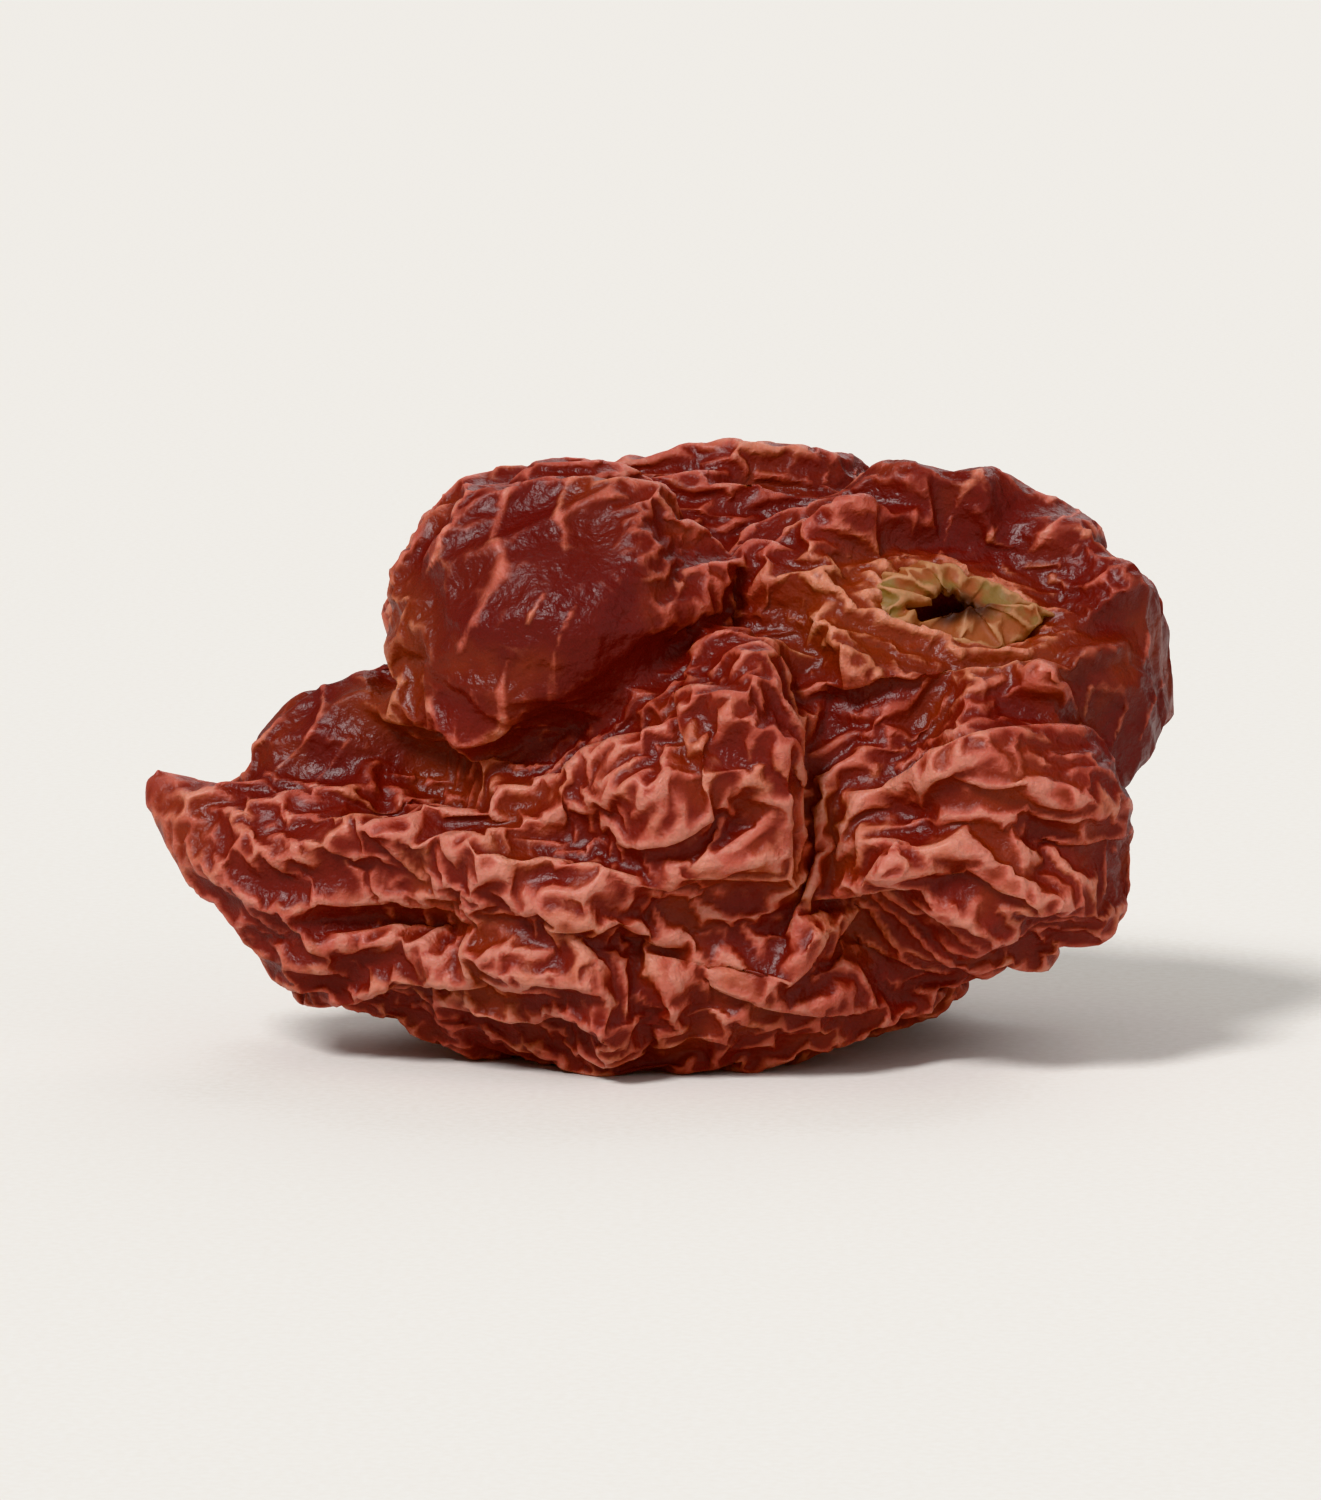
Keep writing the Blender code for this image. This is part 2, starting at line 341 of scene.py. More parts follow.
def dried_skin_material(looks):
    """Dried pepper skin: a waxy cuticle on red flesh, which shrank into folds as its water left.

    The mesh carries five numbers at each vertex: crest on the sharp edges of folds, ridge on their
    backs, rise on the broad swellings and least where the wall is taut, and pale and stem by place.
    """
    # To the eye the hollows and the taut wall are deep red with a soft gloss, darkened by painted
    # shade. The folds are salmon and duller: their pale colour is a painted highlight, the sheen and
    # glow of thin folds under the light. Near the stem the skin dries to amber, and the amber at the
    # shoulder's left edge is painted glow of light through the thin skin.
    material, tree = new_material("dried_pepper_skin")
    crest, ridge, rise, pale, stem = (
        add_node(tree, "ShaderNodeAttribute", {"attribute_name": name}).outputs["Fac"]
        for name in ("crest", "ridge", "rise", "pale", "stem")
    )
    place = add_node(tree, "ShaderNodeTexCoord").outputs["Object"]
    blotch, mottle, fleck, crepe = (
        add_node(tree, NOISE_NODE, {}, {"Vector": place, "Scale": 1 / size, "Detail": detail})
        for size, detail in ((BLOTCH, 3), (MOTTLE, 2), (FLECK, 3), (CREPE, 3))
    )
    crumple = add_node(
        tree,
        NOISE_NODE,
        {"noise_type": "RIDGED_MULTIFRACTAL"},
        {
            "Vector": place,
            "Scale": 1 / CRUMPLE,
            "Detail": 3,
            "Roughness": 0.5,
            "Offset": 1,
            "Gain": 1.4,
        },
    )
    crumple = add_node(tree, RANGE_NODE, {}, {"Value": crumple, "From Min": 0.7, "From Max": 1.6})

    # The flesh is lighter on the swellings and darker in the hollows, as painted shade, with blotches
    # of rust, and amber near the stem and, as painted glow, at the shoulder's left edge.
    depth = add_node(tree, RANGE_NODE, SMOOTH, {"Value": rise, "From Min": -0.4, "From Max": 0.9})
    rust = add_node(
        tree,
        RANGE_NODE,
        SMOOTH,
        {"Value": blotch, "From Min": 0.5, "From Max": 0.7, "To Max": 0.6},
    )
    amber = add_node(tree, RANGE_NODE, {}, {"Value": stem, "To Max": 0.5})
    flesh = looks.hollow_shade_colour
    for share, tint in (
        (depth, looks.flesh_colour),
        (rust, looks.rust_colour),
        (amber, looks.amber_colour),
    ):
        flesh = add_node(tree, MIX_NODE, MIX_COLOURS, {"Factor": share, "A": flesh, "B": tint})

    # Painted sheen sets a painted highlight on the folds: most on their edges and backs, and more in
    # pale places.
    painted_sheen = 0.0
    for layer, share in ((ridge, 0.55), (crest, 0.5), (fleck, 0.2), (crumple, 0.3), (pale, 0.5)):
        painted_sheen = add_node(tree, MATH_NODE, MULTIPLY_ADD, {0: layer, 1: share, 2: painted_sheen})
    highlighted = add_node(tree, RANGE_NODE, SMOOTH, {"Value": painted_sheen, "From Min": 0.86, "From Max": 1.5})
    # Bright is the strongest painted highlight, where the folds stand out most.
    bright = add_node(
        tree,
        RANGE_NODE,
        SMOOTH,
        {"Value": painted_sheen, "From Min": 1.36, "From Max": 1.7, "To Max": 0.45},
    )
    ochre = add_node(
        tree,
        RANGE_NODE,
        SMOOTH,
        {"Value": mottle, "From Min": 0.5, "From Max": 0.68, "To Max": 0.5},
    )
    ochre = add_node(tree, MATH_NODE, ADD, {0: ochre, 1: stem})
    crest_sheen = add_node(
        tree,
        MIX_NODE,
        MIX_COLOURS,
        {"Factor": ochre, "A": looks.crest_sheen_colour, "B": looks.ochre_colour},
    )
    colour = add_node(tree, MIX_NODE, MIX_COLOURS, {"Factor": highlighted, "A": flesh, "B": crest_sheen})
    colour = add_node(
        tree,
        MIX_NODE,
        MIX_COLOURS,
        {"Factor": bright, "A": colour, "B": looks.highlight_colour},
    )

    # Where the painted highlight is, the skin is duller, and it is crumpled between the folds.
    dull = add_node(
        tree,
        RANGE_NODE,
        {},
        {"Value": painted_sheen, "From Min": 0.6, "From Max": 1.3, "To Min": 0.42, "To Max": 0.6},
    )
    crisp = add_node(tree, MATH_NODE, MULTIPLY, {0: crumple, 1: highlighted})
    relief = crepe
    for layer, share in ((fleck, 0.8), (crisp, 0.6)):
        relief = add_node(tree, MATH_NODE, MULTIPLY_ADD, {0: layer, 1: share, 2: relief})
    bump = add_node(
        tree, "ShaderNodeBump", {}, {"Height": relief, "Distance": SKIN_RELIEF, "Strength": 0.9}
    )
    shader = add_node(
        tree,
        "ShaderNodeBsdfPrincipled",
        {},
        {
            "Base Color": colour,
            "Roughness": dull,
            "Normal": bump,
            "IOR": 1.45,
            "Subsurface Weight": 0.15,
            "Subsurface Radius": (1.0, 0.2, 0.08),
            "Subsurface Scale": 0.6 * MM,
            "Coat Weight": 0.06,
            "Coat Roughness": 0.2,
        },
    )
    add_node(tree, "ShaderNodeOutputMaterial", {}, {"Surface": shader})
    return material


def dry_calyx_material(looks):
    """Dry calyx: fibrous green tissue that bleached as it dried, torn where the stem was pulled out.

    The mesh carries two numbers at each vertex: crest on the sharp edges of folds, and torn, which
    is 1 at the slot and 0 away from it.
    """
    # To the eye it is matt: olive and brown in patches, straw on its ridges, and dark at the slot,
    # partly its torn edge and partly painted shadow in the slot.
    material, tree = new_material("dry_calyx")
    place = add_node(tree, "ShaderNodeTexCoord").outputs["Object"]
    patch, fibre = (
        add_node(tree, NOISE_NODE, {}, {"Vector": place, "Scale": 1 / size, "Detail": 4})
        for size in (BROWN_PATCH, FIBRE)
    )
    torn, crest = (
        add_node(tree, "ShaderNodeAttribute", {"attribute_name": name}).outputs["Fac"]
        for name in ("torn", "crest")
    )
    brown = add_node(tree, RANGE_NODE, SMOOTH, {"Value": patch, "From Min": 0.36, "From Max": 0.5})
    raised = add_node(tree, MATH_NODE, MULTIPLY_ADD, {0: fibre, 1: 0.5, 2: crest})
    straw = add_node(tree, RANGE_NODE, SMOOTH, {"Value": raised, "From Min": 0.7, "From Max": 1.25})
    colour = looks.olive_colour
    for share, tint in (
        (brown, looks.brown_colour),
        (straw, looks.straw_colour),
        (torn, looks.torn_and_shade_colour),
    ):
        colour = add_node(tree, MIX_NODE, MIX_COLOURS, {"Factor": share, "A": colour, "B": tint})
    bump = add_node(
        tree, "ShaderNodeBump", {}, {"Height": fibre, "Distance": FIBRE_RELIEF, "Strength": 0.7}
    )
    shader = add_node(
        tree,
        "ShaderNodeBsdfPrincipled",
        {},
        {
            "Base Color": colour,
            "Roughness": 0.62,
            "Normal": bump,
            "Subsurface Weight": 0.1,
            "Subsurface Scale": 0.3 * MM,
        },
    )
    add_node(tree, "ShaderNodeOutputMaterial", {}, {"Surface": shader})
    return material


def uncoated_paper_material(looks):
    """Uncoated paper: pressed pulp without a glaze."""
    # To the eye it is an even pale colour with a fine tooth and hardly any gloss.
    material, tree = new_material("uncoated_paper")
    place = add_node(tree, "ShaderNodeTexCoord").outputs["Object"]
    tooth = add_node(tree, NOISE_NODE, {}, {"Vector": place, "Scale": 1 / PAPER_TOOTH, "Detail": 2})
    raised = add_node(tree, RANGE_NODE, {}, {"Value": tooth, "From Min": 0.3, "From Max": 0.7})
    colour = add_node(
        tree,
        MIX_NODE,
        MIX_COLOURS,
        {"Factor": raised, "A": looks.floor_colour, "B": looks.tooth_colour},
    )
    shader = add_node(
        tree,
        "ShaderNodeBsdfPrincipled",
        {},
        {"Base Color": colour, "Roughness": 0.9, "Specular IOR Level": 0.2},
    )
    add_node(tree, "ShaderNodeOutputMaterial", {}, {"Surface": shader})
    return material


# Settings that a user would change


def length_setting(name, description, default):
    return FloatProperty(
        name=name,
        description=description,
        default=default,
        min=0.01 * MM,
        unit="LENGTH",
        precision=5,
    )


def share_setting(name, description, default):
    return FloatProperty(
        name=name, description=description, default=default, min=0, max=1, subtype="FACTOR"
    )


def colour_setting(name, description, code):
    return FloatVectorProperty(
        name=name,
        description=description,
        default=linear(code),
        min=0,
        max=1,
        subtype="COLOR",
        size=4,
    )


class PodSettings(bpy.types.PropertyGroup):
    grain: length_setting("Mesh size", "Side of the skin's faces", 0.315 * MM)
    fold_spacing: length_setting("Fold spacing", "Distance between the coarse folds", 1.5 * MM)
    fold_growth: share_setting("Fold growth", "How much the skin outgrows the flesh", 0.14)
    fold_along: share_setting("Fold growth along", "Share of it that also goes along the pod", 0.3)
    fold_grip: share_setting("Fold grip", "How much the flesh keeps the skin from sliding", 0.02)
    crinkle_spacing: length_setting(
        "Crinkle spacing", "Distance between the fine crinkles", 0.75 * MM
    )
    crinkle_growth: share_setting("Crinkle growth", "The growth that makes the fine crinkles", 0.24)
    crinkle_along: share_setting(
        "Crinkle growth along", "Share of it that also goes along the pod", 0.3
    )
    crinkle_grip: share_setting("Crinkle grip", "The grip while the fine crinkles form", 0.15)
    # The hollow colour is painted shade, darkest in the hollows.
    hollow_shade_colour: colour_setting("Hollow colour", "The flesh in the deepest hollows", "#560C07")
    flesh_colour: colour_setting("Flesh colour", "The flesh on the swellings", "#6E1B11")
    rust_colour: colour_setting("Rust colour", "Blotches in the flesh", "#7E2C12")
    # The amber colour is the skin's own near the stem, and painted glow at the shoulder's left edge.
    amber_colour: colour_setting("Amber colour", "The flesh near the stem", "#86381C")
    # The crest, ochre and bright colours paint a highlight on the folds: the sheen and glow of thin
    # skin under the light.
    crest_sheen_colour: colour_setting("Crest colour", "Folds, where the cuticle has lifted", "#AC5648")
    ochre_colour: colour_setting("Ochre colour", "Mottle of the folds", "#BA7459")
    highlight_colour: colour_setting("Bright colour", "The most lifted cuticle", "#C58C7A")


class CalyxSettings(bpy.types.PropertyGroup):
    grain: length_setting("Mesh size", "Side of the ring's faces", 0.08 * MM)
    fold_spacing: length_setting("Fold spacing", "Distance between the ring's folds", 0.6 * MM)
    fold_growth: share_setting("Fold growth", "How much the ring outgrows its base", 0.22)
    olive_colour: colour_setting("Olive colour", "The tissue where it stayed green", "#7F6238")
    brown_colour: colour_setting("Brown colour", "The tissue where it browned", "#8E4E30")
    straw_colour: colour_setting("Straw colour", "Its ridges", "#AA7856")
    # The torn colour is partly the torn edge's own and partly painted shadow in the slot.
    torn_and_shade_colour: colour_setting("Torn colour", "Its torn edge round the slot", "#3A1A0C")


class StageSettings(bpy.types.PropertyGroup):
    elevation: FloatProperty(
        name="Camera elevation",
        description="Angle of the camera above the floor",
        default=math.radians(8),
        subtype="ANGLE",
    )
    fill: share_setting("Fill", "Share of the picture's width that the pod fills", 0.78)
    floor_colour: colour_setting("Floor colour", "The floor's paper", "#E6E3DE")
    tooth_colour: colour_setting("Tooth colour", "The raised tooth of the floor's paper", "#ECEAE6")


# The pod's places and proportions

# Places on the pod: centre, reach along X, Y and Z, and strength. Its wall is taut at some, and painted
# shade darkens it there. The painted highlight on its crinkles is strongest at some. It is amber at
# some: near the stem, where it dries to amber, and at the shoulder's left edge, where the amber is
# painted glow.
TAUT_AND_SHADED_PLACES = (
    ((-3.6, -4.0, 13.4), (6.0, 7.0, 4.8), 0.85),
    ((13.8, -1.0, 9.5), (4.6, 7.5, 6.8), 0.72),
    ((9.0, 1.5, 16.0), (7.5, 5.0, 3.4), 0.6),
    ((-10.0, -1.0, 9.6), (4.2, 4.5, 2.6), 0.7),
)
PALE_PLACES = (
    ((-2.0, -7.0, 6.0), (13.0, 7.0, 6.5), 1.0),
    ((-12.5, -2.0, 6.5), (6.0, 5.0, 4.5), 0.8),
    ((9.0, -6.5, 7.0), (6.0, 6.0, 4.5), 0.9),
    ((6.5, -5.0, 14.0), (6.5, 4.0, 3.2), 0.7),
)
AMBER_AND_GLOW_PLACES = (
    ((7.6, -4.0, 13.4), (6.4, 3.8, 2.9), 1.0),
    # Painted glow of light through the thin skin, at the shoulder's left edge.
    ((-8.4, -3.6, 12.0), (2.6, 4.4, 4.2), 0.9),
)
# Where the folds turn up from the pod's length: centre, reach, and how many degrees.
TURNED_PLACES = (
    ((-9.0, -5.0, 5.5), (7.0, 6.0, 5.0), -25),
    ((1.8, -7.0, 9.8), (4.0, 6.0, 3.8), 75),
    ((4.6, -7.5, 6.0), (2.4, 5.0, 4.5), 60),
)

# The tail's tip is stiffer over this length, and at its end the skin grows by only this share.
TIP_LENGTH = 4
TIP_GROWTH = 0.3

# How the folds wander from the pod's length: over what distance, how far they tilt up in radians, how
# much of them goes sideways, and a shift of the noise that keeps the two unlike.
WANDER_SPACING = 7.0
WANDER_TILT = 0.9
WANDER_SIDEWAYS = 0.8
SIDEWAYS_SHIFT = 50

# The paleness of the pod away from its pale places, and its patchiness in large and small patches.
PALE_EVERYWHERE = 0.45
PATCH_SPACING = 6.5
SMALL_PATCH_SPACING = 0.4 * PATCH_SPACING
LARGE_PATCHES = 0.3
SMALL_PATCHES = 0.25

# The taut wall is less pale and less ridged, and its flesh is darker, as painted shade.
TAUT_NOT_PALE = 0.75
TAUT_NOT_RIDGED = 0.5
TAUT_PAINTED_SHADE = 0.35

# Passes of blur that the backs of folds and the broad swellings stand out of.
FOLD_BLUR = 9
SWELLING_BLUR = 40

# Fine veins in the taut wall, which run up and to the right.
VEIN_ALONG = Vector((0.5, 0, 0.87))
VEIN_SPACING = 1.25
VEIN_WIDTH = 0.1
VEIN_HEIGHT = 0.06
# The veins add this much to the crest, so they take the painted highlight too.
VEIN_CREST = 0.9
# They wander by so many spacings, break off where a second noise is low, and fade in between two
# degrees of tautness.
VEIN_WANDER = 1.1
VEIN_WANDER_SPACING = 3 * VEIN_SPACING
VEIN_BREAK_SPACING = 1.8 * VEIN_SPACING
VEIN_BREAK_SHIFT = 20
VEIN_BREAK_ENDS = (-0.2, 0.1)
VEIN_TAUT_ENDS = (0.05, 0.5)

# The tear where the stem was pulled out: the way it faces, half its length and half its width, how
# deep the skin sinks under it, and how far out of its plane it ends.
TEAR_FACING = Vector((0.22, -0.64, 0.73)).normalized()
TEAR_HALF = (2.9, 1.6)
TEAR_DEPTH = 1.7
TEAR_ENDS = (2.2, 3.4)

# Shares of the way from the tear's middle to the ring's outer edge: between each two the skin's hole,
# the ring's slot and its dark torn edge, which is partly painted shadow in the slot, fade out, and the
# rim comes in. The lip's place and width are such shares too.
HOLE_ENDS = (0.3, 0.85)
SLOT_ENDS = (0.3, 0.75)
DARK_ENDS = (0.15, 0.45)
RIM_ENDS = (0.7, 1.0)
# The lip of skin round the hole. It reaches further in where the calyx is missing.
LIP_AT = 1.05
LIP_WIDTH = 0.2
LIP_HEIGHT = 0.42
LIP_FURTHER_IN = 0.35
LIP_RAGGED = 0.08

# How far the calyx ring is tucked under the skin: all of it, its low side, where it is missing and at
# its rim. The low side starts above the middle, and is tucked in full one millimetre below it.
RING_TUCK = 0.2
LOW_SIDE_TUCK = 0.45
LOW_SIDE_ENDS = (-0.3, 1.0)
MISSING_TUCK = 0.45
RIM_TUCK = 0.2
RING_FLATNESS = 0.6
# The ring's slot is drawn in by a share, less in its coarse and fine jags, and the ring is wavy.
SLOT_DRAWN_IN = 0.35
COARSE_JAGS = 0.9
FINE_JAGS = 0.7
RING_WAVES = 0.1
RING_WAVE_SPACING = 0.5
# How coarse the noise is on the circle of ways out from the middle, where its radius is 1, and between
# which values of it the calyx goes from whole to missing.
MISSING_SPACING = 0.7
MISSING_ENDS = (-0.15, 0.25)
COARSE_JAG_SPACING = 0.45
FINE_JAG_SPACING = 0.17
LIP_RAG_SPACING = 0.2
# How the ring's folds form: the share of growth along the slot, and the grip.
RING_ALONG = 0.35
RING_GRIP = 0.05

FOLD_STEPS = 150
CRINKLE_STEPS = 110
RING_STEPS = 90


def spread_over(points, places):
    """The largest of several places' nearness, each times its own strength."""
    return np.max([strength * nearness(points, centre, reach) for centre, reach, strength in places], 0)


def growth_at(points, amount):
    """How much the skin grows: less where the wall is taut, and at the tip of the tail."""
    tip = ease(points[0], LOW.x / MM, LOW.x / MM + TIP_LENGTH)
    slack = 1 - spread_over(points, TAUT_AND_SHADED_PLACES)
    return (amount * slack * (TIP_GROWTH + (1 - TIP_GROWTH) * tip)).astype(np.float32)


def fold_way(points):
    """The way the folds run: along the pod, but wandering, and turned at some places."""
    tilt = WANDER_TILT * noise_at(points, WANDER_SPACING)
    for centre, reach, turn in TURNED_PLACES:
        tilt = tilt + math.radians(turn) * nearness(points, centre, reach)
    sideways = WANDER_SIDEWAYS * noise_at(points + SIDEWAYS_SHIFT, WANDER_SPACING)
    way = np.stack((np.cos(tilt), sideways, np.sin(tilt)))
    return (way / np.sqrt((way**2).sum(0))).astype(np.float32)


def wrinkle(skin, growth, along, spacing, steps, grip):
    """Grows the pod's skin into folds that run the pod's way."""
    points = points_of(skin)
    grow_skin(skin, growth_at(points, growth), fold_way(points), along, spacing, steps, grip)


def veins_at(points, taut):
    """1 on thin lines that run along the taut wall, and 0 off them."""
    up = VEIN_ALONG.to_track_quat("Z", "Y") @ Vector((0, 1, 0))
    wander = VEIN_WANDER * noise_at(points, VEIN_WANDER_SPACING)
    across = np.array(up) @ points / VEIN_SPACING + wander
    off = np.sin(math.pi * across) * VEIN_SPACING / math.pi
    whole = ease(noise_at(points + VEIN_BREAK_SHIFT, VEIN_BREAK_SPACING), *VEIN_BREAK_ENDS)
    return np.exp(-((off / VEIN_WIDTH) ** 2)) * whole * ease(taut, *VEIN_TAUT_ENDS)


class TearView:
    """Places seen from the middle of the tear: along it, across it and out of it."""

    # The ways out from the middle lie on a circle of radius 1 in this slice of the noise.
    SLICE = 7.3

    def __init__(self):
        low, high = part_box("calyx_ring")
        self.middle = np.array((low + high) / 2)[:, None] / MM
        along = (Vector((1, 0, 0)) - TEAR_FACING * TEAR_FACING.x).normalized()
        self.axes = np.array((along, TEAR_FACING.cross(along), TEAR_FACING))

    def seen(self, points):
        return self.axes @ (points - self.middle)

    def placed(self, seen):
        return self.axes.T @ seen + self.middle

    def reach(self, seen):
        """0 at the middle, 1 on the calyx ring's outer edge, and more beyond it."""
        return np.hypot(seen[0] / TEAR_HALF[0], seen[1] / TEAR_HALF[1])

    def ragged(self, seen, spacing):
        """Noise that depends only on the way out from the middle, so it runs through skin and ring."""
        out = seen[:2] / np.array(TEAR_HALF)[:, None]
        out = out / np.maximum(np.sqrt((out**2).sum(0)), 0.01)
        return noise_at(np.stack((out[0], out[1], np.full_like(out[0], self.SLICE))), spacing)

    def missing(self, seen):
        """1 on the sides of the tear where hardly any of the calyx is left, and 0 where it is whole."""
        return ease(self.ragged(seen, MISSING_SPACING), *MISSING_ENDS)


def add_piece(name, mesh, material, node):
    """Makes the visible piece that stands for one of the solids."""
    piece = bpy.data.objects.new(name, mesh)
    bpy.context.scene.collection.objects.link(piece)
    mesh.materials.clear()
    mesh.materials.append(material)
    mesh.shade_smooth()
    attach(piece, ROOT)
    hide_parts(node)


class PEPPER_OT_pod(bpy.types.Operator):
    """Grow the pod's wrinkled skin on its solid"""

    bl_idname = "pepper.pod"
    bl_label = "Pod skin"

    def execute(self, context):
        looks = context.scene.pepper_pod
        skin = remeshed(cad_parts["pod"].data, looks.grain)
        wrinkle(
            skin,
            looks.fold_growth,
            looks.fold_along,
            in_mm(looks.fold_spacing),
            FOLD_STEPS,
            looks.fold_grip,
        )
        skin = with_modifiers(skin, ("SUBSURF", {"levels": 1, "render_levels": 1}))
        wrinkle(
            skin,
            looks.crinkle_growth,
            looks.crinkle_along,
            in_mm(looks.crinkle_spacing),
            CRINKLE_STEPS,
            looks.crinkle_grip,
        )

        web, points, normal = Web(skin), points_of(skin), normals_of(skin)
        taut = spread_over(points, TAUT_AND_SHADED_PLACES)
        veins = veins_at(points, taut)
        move_points(skin, self.opened_tear(points + normal * VEIN_HEIGHT * veins))
        self.set_finish(skin, web, taut, veins)
        add_piece("pod_skin", skin, dried_skin_material(looks), "pod")
        return {"FINISHED"}

    def opened_tear(self, points):
        """Sinks the skin under the tear, so that it shows dark, and laps it over the ring's edge."""
        view = TearView()
        seen = view.seen(points)
        reach = view.reach(seen)
        shallow = 1 - ease(np.abs(seen[2]), *TEAR_ENDS)
        edge = LIP_AT - LIP_FURTHER_IN * view.missing(seen)
        edge = edge + LIP_RAGGED * view.ragged(seen, LIP_RAG_SPACING)
        lip = LIP_HEIGHT * np.exp(-(((reach - edge) / LIP_WIDTH) ** 2))
        seen[2] += shallow * (lip - TEAR_DEPTH * (1 - ease(reach, *HOLE_ENDS)))
        return view.placed(seen)

    def set_finish(self, skin, web, taut, veins):
        """Works out the five numbers that the skin's material reads at each vertex."""
        points, normal = points_of(skin), normals_of(skin)
        back = web.swelling(points, normal, FOLD_BLUR)
        rise = web.swelling(points, normal, SWELLING_BLUR)
        patchy = SMALL_PATCHES * noise_at(points, SMALL_PATCH_SPACING)
        pale = np.maximum(spread_over(points, PALE_PLACES), PALE_EVERYWHERE)
        pale = pale * (1 - TAUT_NOT_PALE * taut) + patchy
        pale = pale + LARGE_PATCHES * noise_at(points, PATCH_SPACING)
        set_attribute(skin, "crest", web.sharpness(points, normal) + VEIN_CREST * veins)
        set_attribute(skin, "ridge", back * (1 - TAUT_NOT_RIDGED * taut))
        # Rise sets painted shade: the flesh is darkest in the hollows and on the taut wall.
        set_attribute(skin, "rise", rise * (1 - taut) - TAUT_PAINTED_SHADE * taut)
        set_attribute(skin, "pale", np.clip(pale, 0, 1))
        # Stem is amber near the stem, and painted glow at the shoulder's left edge.
        set_attribute(skin, "stem", np.clip(spread_over(points, AMBER_AND_GLOW_PLACES) + patchy, 0, 1))


class PEPPER_OT_calyx(bpy.types.Operator):
    """Shape the torn calyx ring in the bowl at the stem end"""

    bl_idname = "pepper.calyx"
    bl_label = "Calyx ring"

    def execute(self, context):
        looks = context.scene.pepper_calyx
        ring = remeshed(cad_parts["calyx_ring"].data, looks.grain)
        view = TearView()
        move_points(ring, view.placed(self.torn(points_of(ring), view)))
        growth = np.full(len(ring.vertices), looks.fold_growth, np.float32)
        way = np.tile(view.axes[:1].T, len(growth)).astype(np.float32)
        spacing = in_mm(looks.fold_spacing)
        grow_skin(ring, growth, way, RING_ALONG, spacing, RING_STEPS, RING_GRIP)

        web, points, normal = Web(ring), points_of(ring), normals_of(ring)
        set_attribute(ring, "crest", web.sharpness(points, normal))
        # Torn darkens the ring round the slot: partly its torn edge, partly painted shadow in the slot.
        set_attribute(ring, "torn", 1 - ease(view.reach(view.seen(points)), *DARK_ENDS))
        add_piece("torn_calyx", ring, dry_calyx_material(looks), "calyx_ring")
        return {"FINISHED"}

    def torn(self, points, view):
        """The ring pressed flat with a jagged slot, and tucked under the skin where it is missing."""
        seen = view.seen(points)
        reach = view.reach(seen)
        inner = 1 - ease(reach, *SLOT_ENDS)
        sunk = (
            RING_TUCK
            + LOW_SIDE_TUCK * ease(-seen[1], *LOW_SIDE_ENDS)
            + MISSING_TUCK * view.missing(seen)
            + RIM_TUCK * ease(reach, *RIM_ENDS)
        )
        seen[1] *= 1 - inner * (
            SLOT_DRAWN_IN
            - COARSE_JAGS * view.ragged(seen, COARSE_JAG_SPACING)
            - FINE_JAGS * view.ragged(seen, FINE_JAG_SPACING)
        )
        seen[:2] *= 1 + RING_WAVES * noise_at(points, RING_WAVE_SPACING)
        seen[2] = RING_FLATNESS * seen[2] - sunk
        return seen


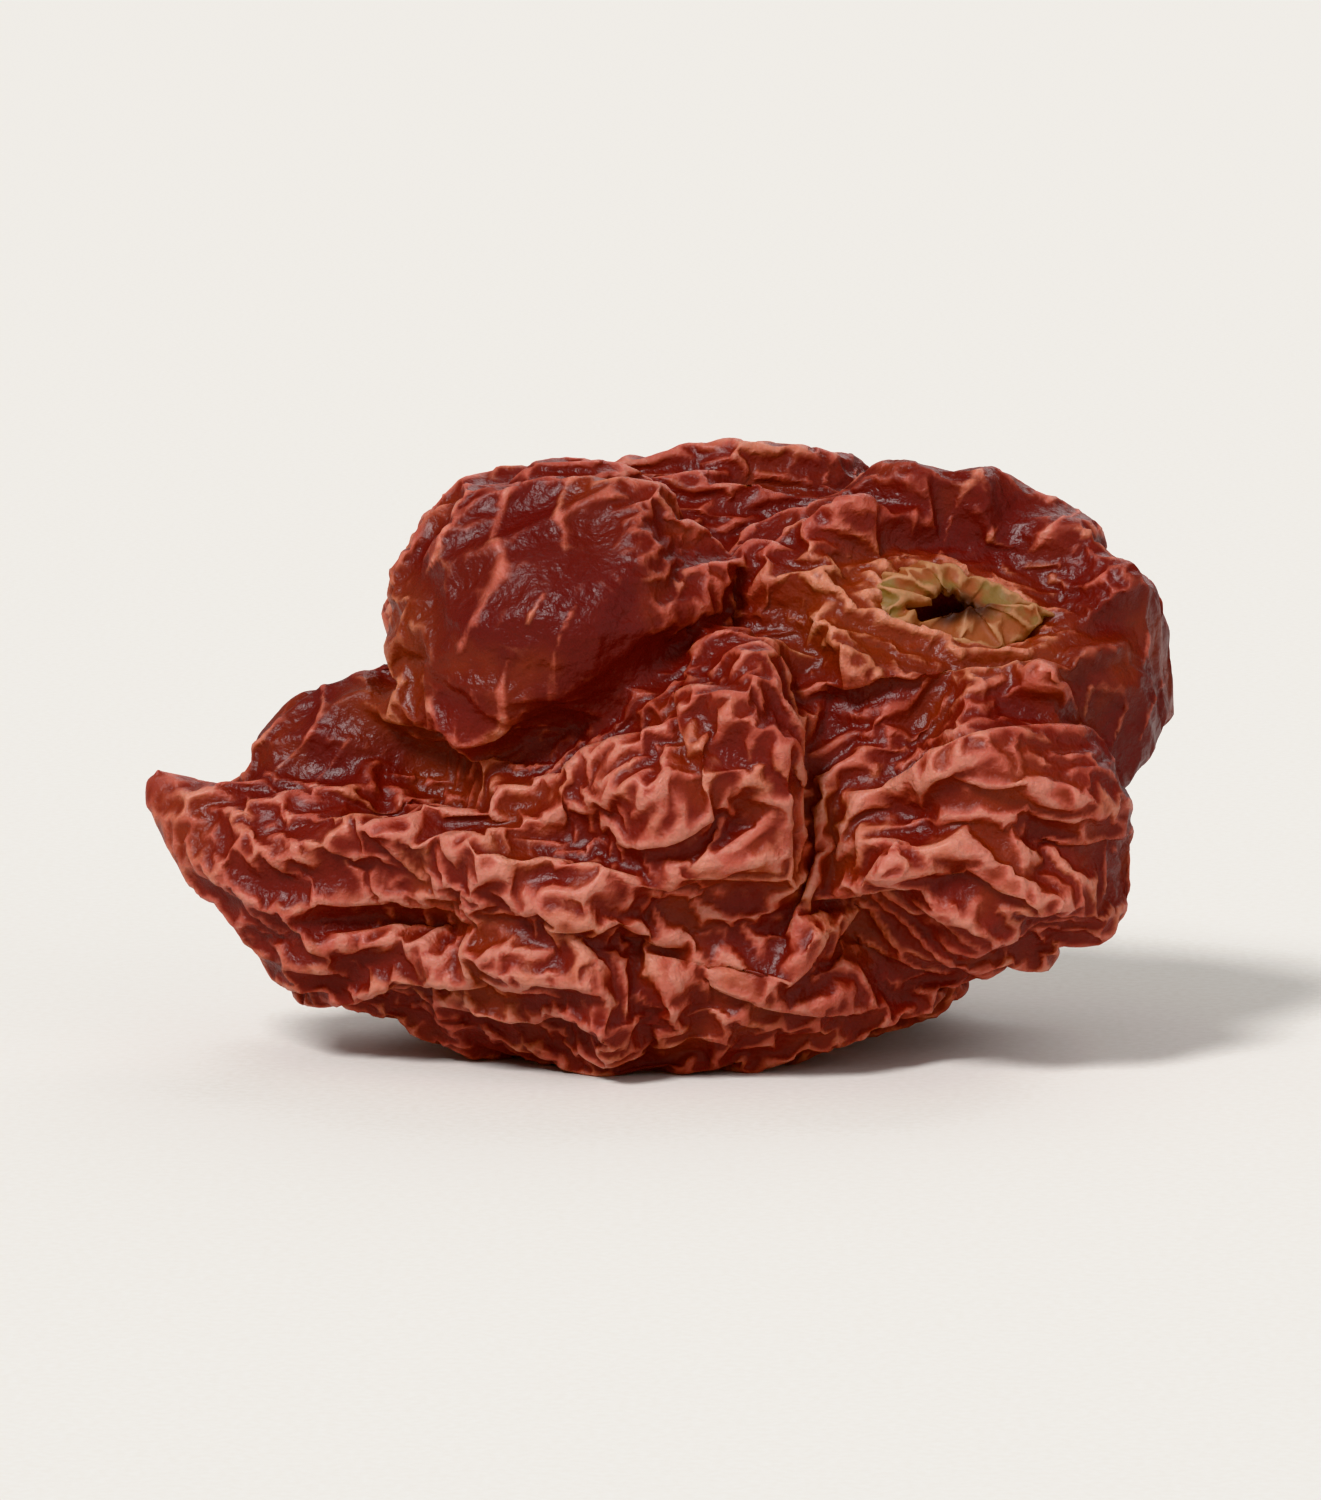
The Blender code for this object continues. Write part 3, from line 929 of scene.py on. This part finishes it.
class PEPPER_OT_stage(bpy.types.Operator):
    """Set the floor, the soft lights and the camera"""

    bl_idname = "pepper.stage"
    bl_label = "Stage"

    PICTURE = (1321, 1500)
    # Half the floor's side, in pod lengths.
    FLOOR_REACH = 40
    # Each light's name, the way it shines, its strength in W/m2 and how many degrees of sky it fills.
    LIGHTS = (
        ("key", (0.55, 0.75, -0.95), 2.7, 16),
        ("fill", (-0.9, 0.8, -0.5), 0.5, 50),
        ("back", (-0.35, -0.9, -0.8), 0.9, 40),
    )

    def execute(self, context):
        looks = context.scene.pepper_stage
        self.add_floor(looks)
        self.add_lights()
        self.add_camera(looks, (LOW + HIGH) / 2)
        return {"FINISHED"}

    def add_floor(self, looks):
        half = self.FLOOR_REACH * POD_LENGTH
        mesh = bpy.data.meshes.new("floor")
        corners = [(-half, -half, 0), (half, -half, 0), (half, half, 0), (-half, half, 0)]
        mesh.from_pydata(corners, [], [(0, 1, 2, 3)])
        mesh.materials.append(uncoated_paper_material(looks))
        floor = bpy.data.objects.new("floor", mesh)
        bpy.context.scene.collection.objects.link(floor)

    def add_lights(self):
        for name, way, strength, spread in self.LIGHTS:
            light = bpy.data.lights.new(name, "SUN")
            light.energy = strength
            light.angle = math.radians(spread)
            lamp = bpy.data.objects.new(name, light)
            lamp.rotation_euler = Vector(way).to_track_quat("-Z", "Y").to_euler()
            bpy.context.scene.collection.objects.link(lamp)
        world = bpy.data.worlds.new("studio")
        world.use_nodes = True
        background = world.node_tree.nodes["Background"]
        background.inputs["Color"].default_value = linear("#F5F2EE")
        background.inputs["Strength"].default_value = 0.45
        bpy.context.scene.world = world

    def add_camera(self, looks, middle):
        lens = bpy.data.cameras.new("camera")
        lens.lens = 200
        lens.sensor_width = 36
        width, height = self.PICTURE
        seen_height = POD_LENGTH / looks.fill * height / width
        away = seen_height / lens.sensor_width * lens.lens
        back = Vector((0, -math.cos(looks.elevation), math.sin(looks.elevation)))
        lens.clip_start = 0.1 * away
        lens.clip_end = 100 * away
        camera = bpy.data.objects.new("camera", lens)
        camera.location = middle + back * away
        camera.rotation_euler = (-back).to_track_quat("-Z", "Y").to_euler()
        bpy.context.scene.collection.objects.link(camera)
        bpy.context.scene.camera = camera
        bpy.context.scene.view_settings.view_transform = "Khronos PBR Neutral"


class PEPPER_PT_panel(bpy.types.Panel):
    bl_idname = "PEPPER_PT_panel"
    bl_label = "Dried pepper"
    bl_space_type = "VIEW_3D"
    bl_region_type = "UI"
    bl_category = "Dried pepper"

    def draw(self, context):
        scene = context.scene
        for settings in (scene.pepper_pod, scene.pepper_calyx, scene.pepper_stage):
            column = self.layout.column(align=True)
            for name in settings.__annotations__:
                column.prop(settings, name)
        for operator in OPERATORS:
            self.layout.operator(operator.bl_idname)


SETTINGS = (PodSettings, CalyxSettings, StageSettings)
OPERATORS = (PEPPER_OT_pod, PEPPER_OT_calyx, PEPPER_OT_stage)
CLASSES = (*SETTINGS, *OPERATORS, PEPPER_PT_panel)


def register():
    for cls in CLASSES:
        bpy.utils.register_class(cls)
    bpy.types.Scene.pepper_pod = PointerProperty(type=PodSettings)
    bpy.types.Scene.pepper_calyx = PointerProperty(type=CalyxSettings)
    bpy.types.Scene.pepper_stage = PointerProperty(type=StageSettings)


def unregister():
    del bpy.types.Scene.pepper_stage
    del bpy.types.Scene.pepper_calyx
    del bpy.types.Scene.pepper_pod
    for cls in reversed(CLASSES):
        bpy.utils.unregister_class(cls)


def main():
    register()
    bpy.ops.pepper.pod()
    bpy.ops.pepper.calyx()
    bpy.ops.pepper.stage()


if __name__ == "__main__":
    main()
